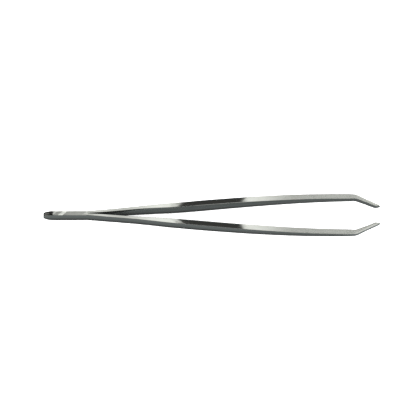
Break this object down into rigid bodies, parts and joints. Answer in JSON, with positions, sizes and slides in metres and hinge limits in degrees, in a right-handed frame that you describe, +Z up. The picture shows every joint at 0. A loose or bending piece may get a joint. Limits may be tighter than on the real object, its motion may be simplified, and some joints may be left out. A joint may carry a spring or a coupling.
{
  "type": "aquascaping tweezers",
  "caption": "Slim steel tweezers: two bowed spring arms welded at a rounded heel, with short blunt tips angled inward for planting under water.",
  "frame": {"origin": "on the resting plane, under the middle of the overall length and midway between the arms", "axes": "+X from the heel to the tips, +Y the side the left arm opens towards, +Z up across the arms' width as the tweezers lie on their narrow edges"},
  "size_m": [0.2, 0.0248, 0.012],
  "materials": {
    "polished_steel": "polished at the heel and grip, satin with fine cross-grain towards the tips",
    "ground_weld": "ground flush, with faint weld ripples"
  },
  "bodies": {
    "heel": {"left_heel_leaf": "polished_steel", "right_heel_leaf": "polished_steel", "heel_weld": "ground_weld"},
    "left_arm": {"left_arm": "polished_steel"},
    "right_arm": {"right_arm": "polished_steel"}
  },
  "joints": [
    {"name": "left_arm_flex", "type": "hinge", "parent": "heel", "child": "left_arm", "pos_m": [-0.059, 0.00183, 0.006], "axis": [0, 0, -1], "range_deg": [0, 1.75], "stiffness_Nm_per_rad": 8.5},
    {"name": "right_arm_flex", "type": "hinge", "parent": "heel", "child": "right_arm", "pos_m": [-0.059, -0.00183, 0.006], "axis": [0, 0, 1], "range_deg": [0, 1.75], "stiffness_Nm_per_rad": 8.5}
  ],
  "couplings": [
    {"joint": "right_arm_flex", "follows": "left_arm_flex", "ratio": 1}
  ]
}
